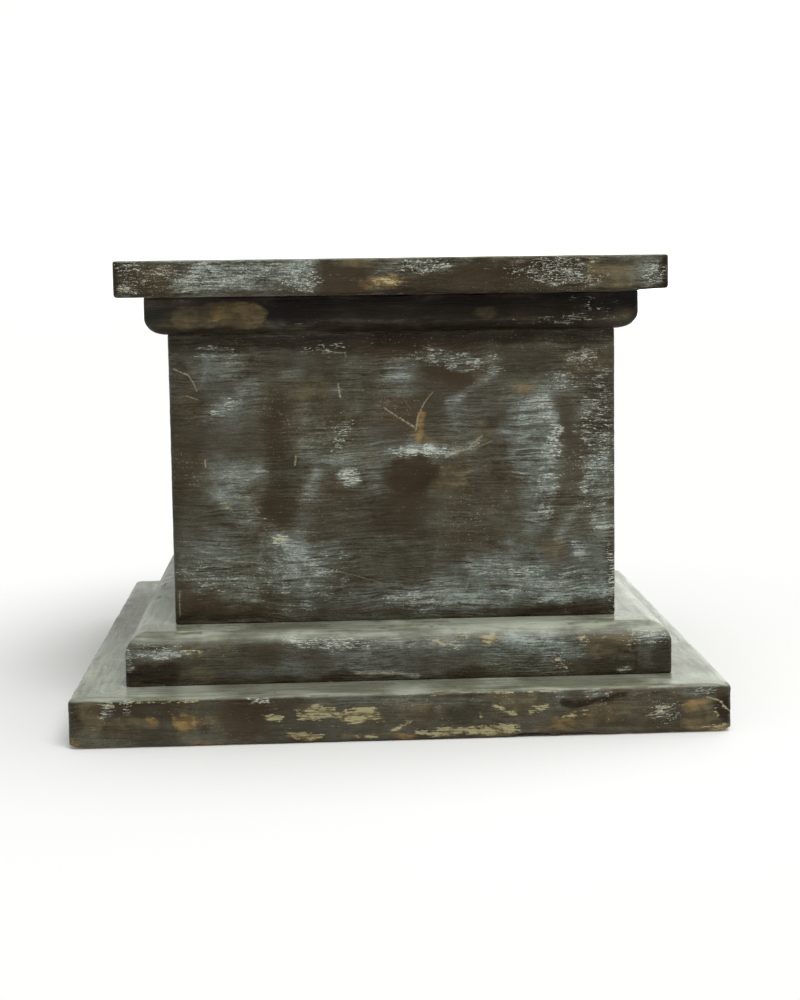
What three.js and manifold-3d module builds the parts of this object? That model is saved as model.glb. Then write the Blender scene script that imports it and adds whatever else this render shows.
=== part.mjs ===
// Wooden sculpture base: a square, board-built pedestal of five stacked tiers.
//
//   top_board       flat square board that the sculpture stands on
//   upper_moulding  board with its lower edge rounded over on all four sides
//   die             the plain square block between the two mouldings
//   lower_moulding  board with its upper edge rounded over on all four sides
//   plinth_board    thick square board that stands on the floor or table
//
// Millimetres, +Z up. The origin is the centre of the underside, +X is the
// right-hand side and -Y the front. Every tier is glued flat on the one below.
import * as THREE from "three";
import { mergeVertices } from "three/addons/utils/BufferGeometryUtils.js";
import Module from "manifold-3d";

// ---------------------------------------------------------------- dimensions
// Plinth board
const PLINTH_W = 350; // side of the square plan
const PLINTH_T = 26; // board thickness
const PLINTH_ARRIS = 2.5; // hand-eased edges, top and bottom
const PLINTH_CORNER = 3.5; // worn vertical corners

// Lower moulding: quarter-round run along its upper edge
const LOWER_W = 296;
const LOWER_T = 28;
const LOWER_ROUND = 11; // roundover, across and down
const LOWER_CORNER = 3;
const LOWER_SET = 0.5; // it was glued this far to the right of centre

// Die
const DIE_W = 244;
const DIE_H = 159.5;
const DIE_CORNER = 1.75; // vertical arrises
const DIE_SET = -0.5;

// Upper moulding: roundover run along its lower edge, a little wider than deep
const UPPER_W = 266.5;
const UPPER_T = 20.5;
const UPPER_ROUND_ACROSS = 11;
const UPPER_ROUND_DOWN = 9.5;
const UPPER_CORNER = 2.5;
const UPPER_SET = -0.5;

// Top board
const TOP_W = 294.5;
const TOP_T = 19.5;
const TOP_ARRIS = 1.75;
const TOP_CORNER = 3;
const TOP_SET = -0.75;

// Fineness of the rounded edges
const ARRIS_STEPS = 3; // facets across an eased edge
const ROUND_STEPS = 9; // facets across a moulded quarter-round
const CORNER_STEPS = 5; // facets round a vertical corner

// Heights at which the tiers meet
const Z_LOWER = PLINTH_T;
const Z_DIE = Z_LOWER + LOWER_T;
const Z_UPPER = Z_DIE + DIE_H;
const Z_TOP = Z_UPPER + UPPER_T;

// -------------------------------------------------------------------- solids
const wasm = await Module();
wasm.setup();

// A closed geometry as a solid, for cutting and joining.
function solid(geometry) {
  const bare = geometry.index ? geometry.toNonIndexed() : geometry.clone();
  bare.deleteAttribute("normal");
  bare.deleteAttribute("uv");
  const merged = mergeVertices(bare, 1e-3);
  return new wasm.Manifold(
    new wasm.Mesh({
      numProp: 3,
      vertProperties: new Float32Array(merged.attributes.position.array),
      triVerts: new Uint32Array(merged.index.array),
    }),
  );
}

// A solid back to a geometry with flat-shaded facets.
function geometryOf(body) {
  const mesh = body.getMesh();
  const n = mesh.numProp;
  const position = new Float32Array(mesh.numVert * 3);
  for (let i = 0; i < mesh.numVert; i++)
    position.set(mesh.vertProperties.subarray(i * n, i * n + 3), i * 3);
  const indexed = new THREE.BufferGeometry()
    .setAttribute("position", new THREE.BufferAttribute(position, 3))
    .setIndex(new THREE.BufferAttribute(new Uint32Array(mesh.triVerts), 1));
  const flat = indexed.toNonIndexed();
  flat.computeVertexNormals();
  return flat;
}

// Square outline of side w. With a corner radius its corners are rounded.
function square(w, radius = 0) {
  const h = w / 2;
  const s = new THREE.Shape();
  if (radius <= 0) {
    s.moveTo(-h, -h).lineTo(h, -h).lineTo(h, h).lineTo(-h, h).closePath();
    return s;
  }
  const c = h - radius;
  s.moveTo(-c, -h);
  s.lineTo(c, -h);
  s.absarc(c, -c, radius, -Math.PI / 2, 0, false);
  s.lineTo(h, c);
  s.absarc(c, c, radius, 0, Math.PI / 2, false);
  s.lineTo(-c, h);
  s.absarc(-c, c, radius, Math.PI / 2, Math.PI, false);
  s.lineTo(-h, -c);
  s.absarc(-c, -c, radius, Math.PI, 1.5 * Math.PI, false);
  return s;
}

// Square prism of side w from z = 0 to z = t, with rounded vertical corners.
function prism(w, t, corner) {
  return new THREE.ExtrudeGeometry(square(w, corner), {
    depth: t,
    bevelEnabled: false,
    curveSegments: CORNER_STEPS,
  });
}

// Board of side w and thickness t whose top and bottom edges are eased by
// a quarter-round of radius arris, with vertical corners of radius corner.
function easedBoard(w, t, arris, corner) {
  const g = new THREE.ExtrudeGeometry(square(w - 2 * arris, corner - arris), {
    depth: t - 2 * arris,
    bevelEnabled: true,
    bevelThickness: arris,
    bevelSize: arris,
    bevelSegments: ARRIS_STEPS,
    curveSegments: CORNER_STEPS,
  });
  return g.translate(0, 0, arris);
}

// Board of side w and thickness t with a roundover along its upper edge that
// mitres at the corners. The roundover takes "across" off the plan and "down"
// off the height. upsideDown turns it over, so that the lower edge is rounded.
function moulding(w, t, across, down, corner, upsideDown = false) {
  const below = down + 5; // the far side's roundover, cut away by the prism
  const run = new THREE.ExtrudeGeometry(square(w - 2 * across), {
    depth: t - down + below,
    bevelEnabled: true,
    bevelThickness: down,
    bevelSize: across,
    bevelSegments: ROUND_STEPS,
  }).translate(0, 0, -below);
  const cut = solid(run).intersect(solid(prism(w, t, corner)));
  const g = geometryOf(cut);
  if (upsideDown) g.rotateX(Math.PI).translate(0, 0, t);
  return g;
}

// ------------------------------------------------------------------ assembly
const finish = (color, roughness) =>
  new THREE.MeshStandardMaterial({ color, roughness, metalness: 0 });

const base = new THREE.Group();
base.name = "sculpture_base";

function tier(name, geometry, material, x, z) {
  const mesh = new THREE.Mesh(geometry, material);
  mesh.name = name;
  mesh.position.set(x, 0, z);
  base.add(mesh);
  return mesh;
}

tier(
  "plinth_board",
  easedBoard(PLINTH_W, PLINTH_T, PLINTH_ARRIS, PLINTH_CORNER),
  finish(0x4a4334, 0.5),
  0,
  0,
);
tier(
  "lower_moulding",
  moulding(LOWER_W, LOWER_T, LOWER_ROUND, LOWER_ROUND, LOWER_CORNER),
  finish(0x46443d, 0.48),
  LOWER_SET,
  Z_LOWER,
);
tier(
  "die",
  prism(DIE_W, DIE_H, DIE_CORNER),
  finish(0x3f3b33, 0.48),
  DIE_SET,
  Z_DIE,
);
tier(
  "upper_moulding",
  moulding(
    UPPER_W,
    UPPER_T,
    UPPER_ROUND_ACROSS,
    UPPER_ROUND_DOWN,
    UPPER_CORNER,
    true,
  ),
  finish(0x2e2a20, 0.45),
  UPPER_SET,
  Z_UPPER,
);
tier(
  "top_board",
  easedBoard(TOP_W, TOP_T, TOP_ARRIS, TOP_CORNER),
  finish(0x4c4d48, 0.5),
  TOP_SET,
  Z_TOP,
);

export default base;
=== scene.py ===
import math

import bpy
import numpy as np
from mathutils import Matrix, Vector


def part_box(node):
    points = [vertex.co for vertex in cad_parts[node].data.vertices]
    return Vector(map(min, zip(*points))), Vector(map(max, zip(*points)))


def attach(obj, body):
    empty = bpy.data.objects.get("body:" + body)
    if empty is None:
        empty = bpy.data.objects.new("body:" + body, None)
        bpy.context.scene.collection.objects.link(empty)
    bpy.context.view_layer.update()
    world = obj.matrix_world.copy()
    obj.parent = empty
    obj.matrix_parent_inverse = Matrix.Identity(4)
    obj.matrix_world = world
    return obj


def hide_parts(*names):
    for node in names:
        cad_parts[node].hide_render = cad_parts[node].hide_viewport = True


# Looks of a square, stepped wooden sculpture base: five painted boards, rubbed
# back, waxed and worn. Lengths in this file are millimetres unless a name says
# otherwise; meshes are made in metres. The front faces -Y.

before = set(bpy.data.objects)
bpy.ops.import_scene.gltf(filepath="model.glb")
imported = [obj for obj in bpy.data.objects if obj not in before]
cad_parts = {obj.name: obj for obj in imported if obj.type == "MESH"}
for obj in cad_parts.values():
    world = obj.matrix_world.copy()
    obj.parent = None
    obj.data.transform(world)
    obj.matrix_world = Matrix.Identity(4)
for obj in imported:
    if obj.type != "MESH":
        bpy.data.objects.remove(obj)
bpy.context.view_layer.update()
scene = bpy.context.scene
M = 0.001

# ------------------------------------------------------------------ the camera
# Eye point and direction, and the picture's principal point, for 800 x 1000.
EYE = np.array([-39.49, -1075.39, 250.82])
YAW, PITCH, ROLL = 0.0526, 0.1027, 0.0136
FOCAL, MID_U, MID_V = 1750.87, 414.39, 442.56

FWD = np.array([math.sin(YAW) * math.cos(PITCH), math.cos(YAW) * math.cos(PITCH), -math.sin(PITCH)])
LEVEL = np.array([math.cos(YAW), -math.sin(YAW), 0.0])
SINK = np.cross(FWD, LEVEL)
RIGHT = math.cos(ROLL) * LEVEL + math.sin(ROLL) * SINK
DOWN = -math.sin(ROLL) * LEVEL + math.cos(ROLL) * SINK


def picture(p):
    """Where points of the front are in the picture: across, down."""
    v = p - EYE
    depth = v @ FWD
    return MID_U + FOCAL * (v @ RIGHT) / depth, MID_V + FOCAL * (v @ DOWN) / depth


def on_front(u, v, y):
    """The point (x, z) of the upright plane at y that shows at u, v."""
    ray = FWD + RIGHT * (u - MID_U) / FOCAL + DOWN * (v - MID_V) / FOCAL
    p = EYE + ray * (y - EYE[1]) / ray[1]
    return p[0], p[2]


cam_data = bpy.data.cameras.new("camera")
cam = bpy.data.objects.new("camera", cam_data)
scene.collection.objects.link(cam)
cam.matrix_world = Matrix(
    [
        [RIGHT[0], -DOWN[0], -FWD[0], EYE[0] * M],
        [RIGHT[1], -DOWN[1], -FWD[1], EYE[1] * M],
        [RIGHT[2], -DOWN[2], -FWD[2], EYE[2] * M],
        [0, 0, 0, 1],
    ]
)
cam_data.sensor_width = 36.0
cam_data.lens = FOCAL * 36.0 / 1000.0
cam_data.shift_x = (400.0 - MID_U) / 1000.0
cam_data.shift_y = (MID_V - 500.0) / 1000.0
cam_data.clip_start = 0.01
cam_data.clip_end = 50.0
scene.camera = cam

# ------------------------------------------------------------------- the noise


def noise(p, seed=0):
    """Smooth noise from -1 to 1 at each row of p, with features about one unit across."""
    cell = np.floor(p).astype(np.int64)
    f = p - cell
    w = f * f * f * (f * (f * 6 - 15) + 10)
    total = np.zeros(len(p))
    for dx in (0, 1):
        wx = w[:, 0] if dx else 1 - w[:, 0]
        for dy in (0, 1):
            wy = w[:, 1] if dy else 1 - w[:, 1]
            for dz in (0, 1):
                wz = w[:, 2] if dz else 1 - w[:, 2]
                h = (cell[:, 0] + dx) * 73856093 ^ (cell[:, 1] + dy) * 19349663 ^ (cell[:, 2] + dz) * 83492791 ^ (seed * 2654435 + 1013)
                h = ((h & 0xFFFFFFFF) * 0x45D9F3B) & 0xFFFFFFFF
                h = ((h ^ (h >> 16)) * 0x45D9F3B) & 0xFFFFFFFF
                h = h ^ (h >> 16)
                total += wx * wy * wz * (h / 0xFFFFFFFF * 2 - 1)
    return total


def layered(p, octaves, seed=0):
    """Noise with finer and fainter layers on top, from about -1 to 1."""
    total, size, norm = np.zeros(len(p)), 1.0, 0.0
    for i in range(octaves):
        total += size * noise(p * 2.03**i, seed + 17 * i)
        norm += size
        size *= 0.55
    return total / norm * 1.35


def ramp(x, lo, hi):
    """0 at lo to 1 at hi, eased at both ends."""
    t = np.clip((x - lo) / (hi - lo), 0, 1)
    return t * t * (3 - 2 * t)


# ------------------------------------------------- the marks seen on the front
# Every mark was placed one by one. A spot is (layer, strength, u, v, half width,
# half height, tilt in degrees, softness). A stroke is (layer, strength, points,
# half width, softness). u and v are across and down in the 800 x 1000 picture.

LAYERS = ("dark", "umber", "rust", "mauve", "green", "teal", "pale", "tan", "gold", "cream", "white")

MARKS = {
    "top_board": [
        ("green", 0.8, 131, 277, 22, 22, 0, 0.5),
        ("umber", 0.8, 146, 283, 20, 10, 12, 0.5),
        ("tan", 0.5, 128, 288, 12, 5, 0, 0.5),
        ("white", 0.5, 129, 288, 12, 6, 0, 0.7),
        ("white", 0.5, 126, 268, 14, 6, 20, 0.6),
        ("dark", 0.8, [(115, 262), (114, 295)], 3.5, 0.5),
        ("tan", 0.45, 160, 274, 34, 14, 10, 0.8),
        ("white", 0.30, 165, 275, 40, 14, 0, 0.8),
        ("teal", 0.6, 192, 280, 34, 17, 0, 0.7),
        ("pale", 0.15, 215, 282, 32, 12, 0, 0.7),
        ("pale", 0.22, 240, 277, 32, 17, 0, 0.7),
        ("teal", 0.5, 245, 277, 50, 17, 0, 0.7),
        ("white", 0.30, 240, 276, 50, 15, 0, 0.7),
        ("pale", 0.4, [(168, 292), (190, 276), (200, 266)], 4, 0.8),
        ("green", 0.45, 260, 266, 26, 8, 0, 0.6),
        ("mauve", 0.5, 278, 274, 16, 14, 0, 0.7),
        ("pale", 0.75, 308, 276, 16, 18, 0, 0.6),
        ("pale", 0.7, 292, 266, 16, 6, 0, 0.5),
        ("white", 0.6, 306, 280, 18, 14, 0, 0.6),
        ("umber", 0.95, 344, 278, 25, 19, 0, 0.4),
        ("rust", 0.5, 352, 284, 22, 12, 0, 0.5),
        ("tan", 0.75, 355, 263, 19, 5, 0, 0.5),
        ("gold", 0.7, 382, 282, 18, 6, -4, 0.7),
        ("cream", 0.38, 384, 282, 12, 5, -4, 0.6),
        ("pale", 0.6, 424, 266, 26, 9, 0, 0.5),
        ("white", 0.65, 444, 262, 8, 6, 0, 0.6),
        ("white", 0.45, 420, 266, 22, 7, 0, 0.6),
        ("umber", 0.8, 440, 284, 46, 8, -2, 0.5),
        ("mauve", 0.5, 415, 281, 20, 6, 0, 0.5),
        ("umber", 0.9, 486, 274, 34, 14, 0, 0.5),
        ("rust", 0.4, 480, 279, 24, 8, 0, 0.5),
        ("pale", 0.5, 507, 262, 20, 5, 0, 0.6),
        ("dark", 0.45, 545, 270, 38, 16, 0, 0.6),
        ("white", 0.5, 548, 269, 38, 12, -6, 0.8),
        ("pale", 0.4, 535, 268, 18, 8, -8, 0.6),
        ("white", 0.6, 570, 280, 28, 6, -4, 0.6),
        ("tan", 0.6, 592, 270, 10, 13, 0, 0.6),
        ("cream", 0.4, 590, 268, 4, 12, 0, 0.5),
        ("tan", 0.65, 618, 272, 24, 14, 0, 0.6),
        ("umber", 0.5, 620, 262, 20, 5, 0, 0.5),
        ("rust", 0.35, 612, 283, 24, 6, 0, 0.5),
        ("pale", 0.85, 649, 275, 15, 15, 0, 0.5),
        ("teal", 0.5, 644, 266, 16, 8, 0, 0.5),
        ("white", 0.6, 655, 272, 8, 12, 0, 0.6),
        ("dark", 0.75, [(665.5, 256), (665.5, 288)], 3.2, 0.5),
        ("dark", 0.5, [(120, 294), (330, 294), (520, 291), (660, 287)], 2.6, 0.6),
        ("pale", 0.4, [(120, 261), (330, 258.5), (560, 256), (662, 253.5)], 1.8, 0.8),
    ],
    "upper_moulding": [
        # painted shadow: this dark band stands for the shade right under the top board's overhang
        ("dark", 0.9, 390, 306, 300, 8, -1.5, 0.5),
        ("umber", 0.5, 420, 312, 130, 6, 0, 0.6),
        ("green", 0.8, 153, 314, 12, 18, 0, 0.5),
        ("tan", 0.75, [(184, 317), (252, 315)], 13, 0.2),
        ("tan", 0.4, 170, 318, 14, 12, 0, 0.8),
        ("umber", 0.6, 196, 309, 26, 5, 4, 0.6),
        ("gold", 0.34, [(222, 315), (253, 314)], 12, 0.2),
        ("gold", 0.22, 190, 321, 30, 7, 0, 0.6),
        ("cream", 0.42, [(262, 306), (266, 314), (263, 322)], 1.6, 0.5),
        ("cream", 0.4, [(203, 323), (216, 322)], 2.2, 0.6),
        # painted highlight: the pale and teal line where the face turns under into its round
        ("pale", 0.30, [(265, 324), (400, 321.5), (560, 319), (630, 317)], 2.2, 0.8),
        ("teal", 0.35, [(265, 326), (400, 323.5), (560, 321), (630, 319)], 3.5, 0.8),
        ("pale", 0.35, 323, 315, 5, 3, 0, 0.5),
        ("tan", 0.6, 485, 313, 11, 6, 0, 0.5),
        ("cream", 0.35, 481, 313, 4, 3, 0, 0.5),
        ("white", 0.25, 545, 321, 44, 4, -3, 0.7),
        ("white", 0.35, 575, 320, 18, 4, -6, 0.7),
        ("tan", 0.5, 622, 316, 14, 5, -10, 0.6),
        ("umber", 0.4, 560, 312, 60, 8, 0, 0.6),
        ("white", 0.2, 600, 306, 30, 12, 0, 0.6),
    ],
    "die": [
        # across the top; the dark band is painted shadow under the upper moulding's overhang
        ("dark", 0.75, 392, 340, 240, 7, -1.2, 0.6),
        ("umber", 0.7, 400, 345, 70, 10, 0, 0.7),
        ("white", 0.5, 325, 348, 28, 3.5, -3, 0.8),
        ("white", 0.5, 340, 353, 14, 2.5, 0, 0.7),
        ("pale", 0.35, 470, 334, 22, 2, -2, 0.8),
        # left part
        ("green", 0.65, [(171, 340), (176, 470), (178, 612)], 6, 0.5),
        ("pale", 0.5, [(178.5, 592), (179.5, 616)], 1.6, 0.6),
        ("umber", 0.45, 186, 430, 16, 70, 0, 0.7),
        ("tan", 0.22, 190, 395, 16, 40, 0, 0.8),
        ("pale", 0.5, 217, 363, 23, 14, -8, 0.6),
        ("white", 0.3, 214, 352, 24, 6, 0, 0.7),
        ("green", 0.6, 217, 388, 12, 12, 0, 0.7),
        ("mauve", 0.7, 248, 384, 30, 9, -14, 0.7),
        ("pale", 0.55, [(238, 391), (262, 380), (298, 372)], 5, 0.8),
        ("pale", 0.45, [(207, 416), (222, 408), (242, 395)], 6.5, 0.8),
        ("white", 0.55, [(209, 415), (226, 407), (241, 396)], 4, 0.8),
        ("mauve", 0.6, 230, 440, 20, 26, 20, 0.7),
        ("umber", 0.5, 206, 442, 22, 12, 0, 0.7),
        ("pale", 0.68, 247, 478, 28, 18, -6, 0.6),
        ("pale", 0.35, 226, 492, 18, 8, 0, 0.7),
        ("gold", 0.42, 226, 504, 5, 4, 20, 0.7),
        ("cream", 0.45, 225, 503, 6, 5, 20, 0.7),
        ("pale", 0.8, [(226, 494), (246, 514), (268, 534), (292, 548)], 13, 0.8),
        ("pale", 0.5, [(296, 548), (308, 515), (316, 478)], 9, 0.8),
        ("teal", 0.4, 262, 570, 90, 30, 0, 0.8),
        ("pale", 0.25, 250, 550, 60, 26, 0, 0.9),
        ("teal", 0.35, 420, 570, 230, 42, 0, 0.9),
        ("teal", 0.6, 520, 585, 100, 26, 0, 0.8),
        ("cream", 0.55, 280, 539, 5, 4, 0, 0.6),
        ("white", 0.8, 281, 538, 7, 5, 0, 0.7),
        ("umber", 0.5, 190, 500, 18, 50, 0, 0.8),
        ("mauve", 0.35, 200, 540, 20, 14, 0, 0.8),
        ("pale", 0.28, 202, 583, 16, 8, -10, 0.8),
        ("white", 0.3, 205, 580, 22, 16, 0, 0.8),
        ("rust", 0.8, 196, 600, 20, 12, 0, 0.6),
        ("umber", 0.8, 222, 611, 40, 6, 0, 0.6),
        # the dark column and what is beside it
        ("umber", 0.55, 277, 430, 15, 52, 2, 0.9),
        ("dark", 0.25, 277, 418, 10, 34, 0, 0.9),
        ("green", 0.6, 284, 480, 12, 22, 4, 0.7),
        ("umber", 0.7, 272, 515, 13, 20, 12, 0.6),
        ("tan", 0.45, 312, 392, 24, 16, -20, 0.8),
        ("mauve", 0.5, 330, 366, 60, 11, 0, 0.8),
        ("teal", 0.5, 320, 438, 14, 20, 0, 0.7),
        ("pale", 0.4, 340, 433, 11, 10, -50, 0.6),
        ("white", 0.75, [(347, 423), (342, 432), (336, 446)], 5, 0.8),
        ("teal", 0.45, 334, 459, 38, 10, -3, 0.7),
        ("pale", 0.25, 330, 458, 30, 7, -3, 0.7),
        ("pale", 1.0, 348, 479, 11, 9.5, 0, 0.3),
        ("white", 0.85, 348, 478, 10, 8.5, 0, 0.5),
        ("pale", 0.45, [(316, 471), (312, 486), (304, 500)], 6, 0.8),
        ("rust", 0.4, 328, 489, 14, 9, 0, 0.8),
        ("pale", 0.35, 336, 391, 7, 4, 0, 0.7),
        ("umber", 0.55, 336, 518, 42, 22, 0, 0.75),
        ("tan", 0.2, 330, 520, 34, 14, 0, 0.8),
        ("teal", 0.65, 298, 578, 42, 20, 6, 0.7),
        ("pale", 0.5, 298, 574, 36, 14, 8, 0.7),
        ("white", 0.25, 300, 575, 50, 26, 0, 0.8),
        ("pale", 0.4, 252, 592, 10, 10, 0, 0.7),
        ("umber", 0.3, 380, 568, 40, 20, 0, 0.8),
        # middle, above
        ("pale", 0.5, 399, 368, 12, 15, 0, 0.6),
        ("teal", 0.5, 396, 377, 18, 14, 0, 0.7),
        ("pale", 0.35, 459, 361, 38, 9, 4, 0.6),
        ("pale", 0.55, 430, 353, 12, 12, 0, 0.7),
        ("white", 0.75, 455, 362, 40, 9, 5, 0.8),
        ("rust", 0.8, 462, 384, 20, 10, 8, 0.5),
        ("umber", 0.7, 448, 378, 24, 8, 12, 0.6),
        ("pale", 0.6, [(497, 362), (489, 378), (472, 391), (448, 403)], 4.0, 0.8),
        ("mauve", 0.6, 490, 400, 36, 18, -10, 0.8),
        ("teal", 0.35, 455, 412, 18, 12, 0, 0.8),
        ("rust", 0.85, 397, 418, 16, 24, -8, 0.55),
        ("umber", 0.6, 425, 412, 18, 22, 0, 0.7),
        ("mauve", 0.5, 378, 436, 12, 20, 0, 0.7),
        ("tan", 0.35, 372, 455, 14, 12, 0, 0.8),
        ("gold", 0.7, [(421, 414), (419, 427), (418, 439)], 3.4, 0.8),
        ("tan", 0.5, 420, 433, 9, 9, 0, 0.8),
        ("tan", 0.6, 424, 438, 17, 5, 4, 0.7),
        ("pale", 0.6, 423, 451, 26, 7, 2, 0.6),
        ("teal", 0.6, 423, 448, 22, 6, 2, 0.6),
        ("white", 0.95, 420, 451, 25, 5.5, 2, 0.6),
        ("pale", 0.7, [(450, 452), (465, 450), (480, 443)], 3.2, 0.8),
        ("tan", 0.6, 482, 433, 10, 11, -30, 0.7),
        ("tan", 0.75, 450, 476, 14, 17, 24, 0.6),
        # the big dark blob
        ("umber", 0.95, 411, 487, 25, 28, 0, 0.65),
        ("dark", 0.7, 414, 478, 20, 17, 0, 0.7),
        ("umber", 0.7, 408, 520, 19, 20, 0, 0.7),
        ("rust", 0.5, 404, 482, 18, 20, 0, 0.7),
        # middle right
        ("umber", 0.4, 500, 470, 30, 20, 0, 0.8),
        ("mauve", 0.45, 470, 512, 34, 20, 0, 0.8),
        ("umber", 0.4, 450, 550, 28, 20, -20, 0.8),
        ("tan", 0.6, 524, 389, 17, 10, -12, 0.7),
        ("gold", 0.3, 522, 388, 12, 5, -12, 0.8),
        ("pale", 0.6, 561, 383, 17, 10, -8, 0.7),
        ("white", 0.4, 562, 380, 16, 8, 0, 0.8),
        ("teal", 0.75, 530, 450, 22, 62, -4, 0.7),
        ("pale", 0.4, 528, 470, 20, 70, 0, 0.8),
        ("pale", 0.5, [(538, 396), (548, 412), (554, 432), (557, 452)], 10, 0.7),
        ("white", 0.5, [(542, 398), (550, 415), (556, 436)], 5, 0.8),
        ("white", 0.9, [(555, 428), (557, 451)], 5, 0.7),
        ("pale", 0.65, 552, 447, 9, 7, 0, 0.5),
        ("pale", 0.45, [(551, 456), (549, 482), (542, 508), (530, 530)], 9, 0.8),
        ("white", 0.25, [(551, 456), (548, 484), (541, 510)], 10, 0.8),
        ("mauve", 0.7, 568, 458, 11, 48, 0, 0.6),
        ("umber", 0.4, 566, 420, 8, 30, 0, 0.7),
        ("pale", 0.45, [(578, 508), (570, 520), (560, 536)], 5, 0.8),
        ("tan", 0.65, 588, 360, 24, 11, -16, 0.7),
        ("umber", 0.5, 540, 362, 26, 12, -10, 0.8),
        ("white", 0.65, 578, 358, 14, 8, -20, 0.8),
        ("pale", 0.55, 580, 354, 12, 6, -20, 0.7),
        ("teal", 0.6, 597, 440, 16, 62, 0, 0.7),
        ("dark", 0.5, 598, 405, 14, 34, 0, 0.8),
        ("white", 0.5, 596, 440, 18, 72, 0, 0.7),
        ("pale", 0.35, 598, 468, 12, 26, 0, 0.7),
        ("pale", 0.75, 603, 520, 12, 13, -30, 0.6),
        ("mauve", 0.4, 590, 500, 12, 16, 0, 0.7),
        ("tan", 0.6, 555, 549, 12, 14, 30, 0.6),
        ("rust", 0.4, 562, 556, 12, 12, 0, 0.7),
        ("pale", 0.7, 580, 551, 9, 8, 40, 0.6),
        ("white", 0.5, 578, 550, 11, 8, 40, 0.7),
        ("dark", 0.6, 612, 580, 5, 34, 0, 0.7),
        ("white", 0.9, 613, 575, 4, 40, 0, 0.7),
        # along the bottom
        ("pale", 0.6, 494, 557, 26, 15, -12, 0.7),
        ("teal", 0.8, 505, 580, 44, 22, -6, 0.7),
        ("pale", 0.5, [(478, 578), (500, 572), (530, 570)], 7, 0.8),
        ("pale", 0.5, 520, 588, 84, 15, -2, 0.8),
        ("white", 0.75, [(512, 573), (526, 571), (540, 570)], 3.4, 0.8),
        ("white", 0.6, [(493, 590), (512, 589), (530, 590)], 2.6, 0.8),
        ("white", 0.6, [(536, 599), (552, 598)], 3.0, 0.8),
        ("pale", 0.7, 422, 596, 26, 9, 2, 0.7),
        ("white", 0.5, 415, 600, 26, 8, 0, 0.8),
        ("pale", 0.4, 470, 597, 70, 4, 0, 0.9),
        ("teal", 0.55, 580, 585, 36, 16, 0, 0.8),
        ("white", 0.25, 580, 585, 34, 18, 0, 0.8),
        ("dark", 0.7, 540, 610, 80, 6, -2, 0.7),
        ("green", 0.5, 400, 612, 60, 5, -2, 0.7),
        ("dark", 0.5, 215, 617, 50, 4, 0, 0.6),
    ],
    "lower_moulding": [
        ("teal", 0.6, 150, 643, 26, 10, 0, 0.6),
        ("dark", 0.5, 152, 645, 24, 5, 0, 0.7),
        ("white", 0.35, 150, 643, 26, 8, 0, 0.8),
        ("pale", 0.9, 158, 654, 30, 5, -2, 0.6),
        ("white", 0.8, 160, 654, 27, 4.5, -2, 0.7),
        ("white", 0.8, 128, 660, 4, 12, 0, 0.7),
        ("dark", 0.95, 153, 675, 26, 10, 0, 0.3),
        ("tan", 0.45, 197, 676, 22, 8, 0, 0.6),
        ("umber", 0.5, 210, 668, 40, 12, 0, 0.8),
        ("green", 0.5, 200, 648, 30, 10, 0, 0.8),
        ("tan", 0.35, 210, 642, 30, 7, 0, 0.8),
        ("pale", 0.5, 275, 631, 30, 6, 0, 0.7),
        ("white", 0.55, 286, 633, 20, 4, 0, 0.8),
        ("rust", 0.8, 272, 645, 14, 8, -8, 0.5),
        ("umber", 0.6, 262, 655, 20, 8, 0, 0.6),
        ("white", 0.85, 296, 639, 11, 6, 30, 0.7),
        ("pale", 0.6, 300, 638, 14, 6, 0, 0.7),
        ("white", 0.75, 333, 645, 26, 5, 0, 0.8),
        ("rust", 0.5, 311, 660, 15, 9, 0, 0.7),
        ("dark", 0.7, 336, 675, 18, 6, 0, 0.6),
        ("mauve", 0.4, 365, 655, 40, 14, 0, 0.8),
        ("pale", 0.6, [(355, 673), (385, 672), (418, 674)], 2.0, 0.7),
        ("cream", 0.4, [(358, 672.5), (400, 672)], 1.2, 0.6),
        ("green", 0.5, 405, 660, 24, 12, 0, 0.8),
        ("tan", 0.4, 440, 640, 24, 10, 0, 0.8),
        ("cream", 0.55, 459, 636, 7, 4.5, -10, 0.6),
        ("white", 0.9, 452, 643, 3, 2.2, 0, 0.5),
        ("white", 0.9, 459, 647, 3.4, 2.6, 0, 0.5),
        ("cream", 0.5, [(432, 640), (444, 646), (450, 650)], 1.6, 0.6),
        ("cream", 0.85, 490, 638, 8, 6, 10, 0.5),
        ("tan", 0.7, 487, 637, 13, 8, 0, 0.7),
        ("teal", 0.9, 530, 645, 46, 20, 0, 0.7),
        ("pale", 0.4, 515, 634, 26, 9, 0, 0.7),
        ("dark", 0.7, 468, 672, 24, 5, -2, 0.6),
        ("dark", 0.4, 545, 662, 40, 10, 0, 0.7),
        ("umber", 0.45, 452, 660, 30, 8, 0, 0.7),
        ("pale", 0.35, 476, 662, 20, 4, -4, 0.8),
        ("rust", 0.7, 559, 661, 9, 8, 0, 0.5),
        ("cream", 0.5, [(553, 655), (558, 662), (566, 666)], 1.3, 0.6),
        ("white", 0.5, 558, 661, 9, 8, 0, 0.7),
        ("tan", 0.85, 604, 639, 31, 12, 0, 0.5),
        ("cream", 0.35, 590, 637, 12, 8, 0, 0.7),
        ("umber", 0.4, 608, 650, 20, 6, 0, 0.7),
        ("white", 0.5, 580, 644, 8, 10, 0, 0.8),
        ("teal", 0.85, 650, 634, 20, 12, 0, 0.5),
        ("white", 0.7, 648, 634, 20, 12, 0, 0.6),
        ("pale", 0.55, 646, 630, 18, 8, 0, 0.7),
        ("dark", 0.75, 628, 646, 10, 5, 0, 0.6),
        ("dark", 0.8, 664, 656, 10, 18, 0, 0.6),
        ("dark", 0.45, 600, 664, 60, 8, 0, 0.7),
        ("white", 0.95, 625, 669, 7, 2.6, 0, 0.5),
        ("pale", 0.75, 626, 669, 8, 3, 0, 0.5),
        ("dark", 0.5, [(637.6, 652), (637.6, 671)], 1.3, 0.4),
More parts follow.
